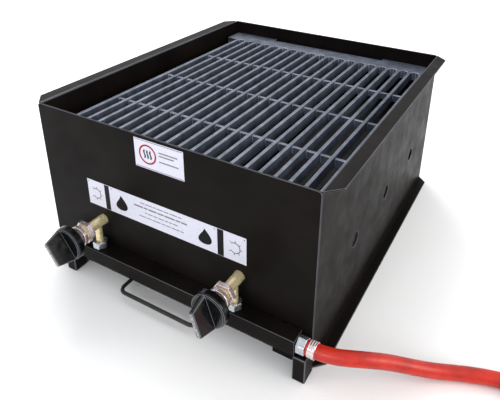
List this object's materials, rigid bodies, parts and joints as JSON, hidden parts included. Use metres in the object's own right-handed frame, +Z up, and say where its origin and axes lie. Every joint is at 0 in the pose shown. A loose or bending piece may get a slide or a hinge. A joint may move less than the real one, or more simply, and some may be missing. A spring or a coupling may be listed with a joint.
{
  "type": "table-top gas grill",
  "caption": "Low open-topped sheet-metal gas grill with a cast cooking grid, tube burners, front valves with knobs, a slide-out drip tray and a red hose with a regulator.",
  "frame": {"origin": "on the resting surface, under the middle of the grill's box and knobs, the hose and regulator left out", "axes": "+X to the right of someone facing the knobs, +Y from the knobs to the back, +Z up"},
  "size_m": [0.7847, 0.5544, 0.226],
  "materials": {
    "black_coat": "satin black powder coat",
    "cast_iron": "dark cast iron with a grey sheen",
    "dark_steel": "dark heat-resistant coat on steel",
    "zinc": "bright zinc-plated steel",
    "nickel": "warm nickel plate",
    "brass": "pale machined brass",
    "black_plastic": "glossy black moulded plastic",
    "label": "printed pale label",
    "hose_rubber": "orange-red rubber hose",
    "grey_casting": "grey die casting",
    "blue_coat": "blue paint"
  },
  "bodies": {
    "grill": {"front_panel": "black_coat", "back_panel": "black_coat", "left_side_panel": "black_coat", "right_side_panel": "black_coat", "front_grid_support": "black_coat", "back_grid_support": "black_coat", "gas_manifold": "black_coat", "left_manifold_cap": "black_coat", "right_manifold_cap": "black_coat", "left_front_foot": "black_coat", "right_front_foot": "black_coat", "front_burner_hanger": "dark_steel", "rear_burner_hanger": "dark_steel", "left_burner": "dark_steel", "right_burner": "dark_steel", "left_heat_plate": "dark_steel", "right_heat_plate": "dark_steel", "left_tray_runner": "dark_steel", "right_tray_runner": "dark_steel", "left_burner_pin": "zinc", "left_valve_body": "brass", "left_valve_collar": "nickel", "left_valve_bonnet": "nickel", "left_inlet_nut": "zinc", "left_injector": "brass", "right_burner_pin": "zinc", "right_valve_body": "brass", "right_valve_collar": "nickel", "right_valve_bonnet": "nickel", "right_inlet_nut": "zinc", "right_injector": "brass", "front_label": "label", "hot_surface_label": "label", "hose_nipple": "zinc", "hose_ferrule": "nickel", "gas_hose": "hose_rubber", "gas_hose_coil": "hose_rubber", "gas_hose_tail": "hose_rubber", "regulator_ferrule": "nickel", "regulator_outlet": "brass", "regulator_base": "grey_casting", "regulator_cover": "blue_coat", "regulator_bullnose": "brass"},
    "left_push": {"left_thrust_washer": "zinc"},
    "right_push": {"right_thrust_washer": "zinc"},
    "left_knob": {"left_knob": "black_plastic", "left_valve_stem": "zinc"},
    "right_knob": {"right_knob": "black_plastic", "right_valve_stem": "zinc"},
    "grid": {"cooking_grid": "cast_iron"},
    "tray": {"drip_tray": "dark_steel", "tray_handle": "dark_steel"},
    "union_nut": {"regulator_nut": "brass"}
  },
  "joints": [
    {"name": "left_knob_push", "type": "slide", "parent": "grill", "child": "left_push", "axis": [0, 1, 0], "range_m": [0, 0.003], "stiffness_N_per_m": 400, "springref_m": -0.003},
    {"name": "left_knob_turn", "type": "hinge", "parent": "left_push", "child": "left_knob", "pos_m": [-0.1, -0.184, 0.088], "axis": [0, -1, 0], "range_deg": [0, 180]},
    {"name": "right_knob_push", "type": "slide", "parent": "grill", "child": "right_push", "axis": [0, 1, 0], "range_m": [0, 0.003], "stiffness_N_per_m": 400, "springref_m": -0.003},
    {"name": "right_knob_turn", "type": "hinge", "parent": "right_push", "child": "right_knob", "pos_m": [0.1, -0.184, 0.088], "axis": [0, -1, 0], "range_deg": [0, 180]},
    {"name": "grid_lift", "type": "slide", "parent": "grill", "child": "grid", "axis": [0, 0, 1], "range_m": [0, 0.12]},
    {"name": "tray_slide", "type": "slide", "parent": "grill", "child": "tray", "axis": [0, -1, 0], "range_m": [0, 0.36]},
    {"name": "union_nut_turn", "type": "hinge", "parent": "grill", "child": "union_nut", "pos_m": [0.295, -0.2635, 0.0155], "axis": [1, 0, 0], "continuous": true}
  ]
}
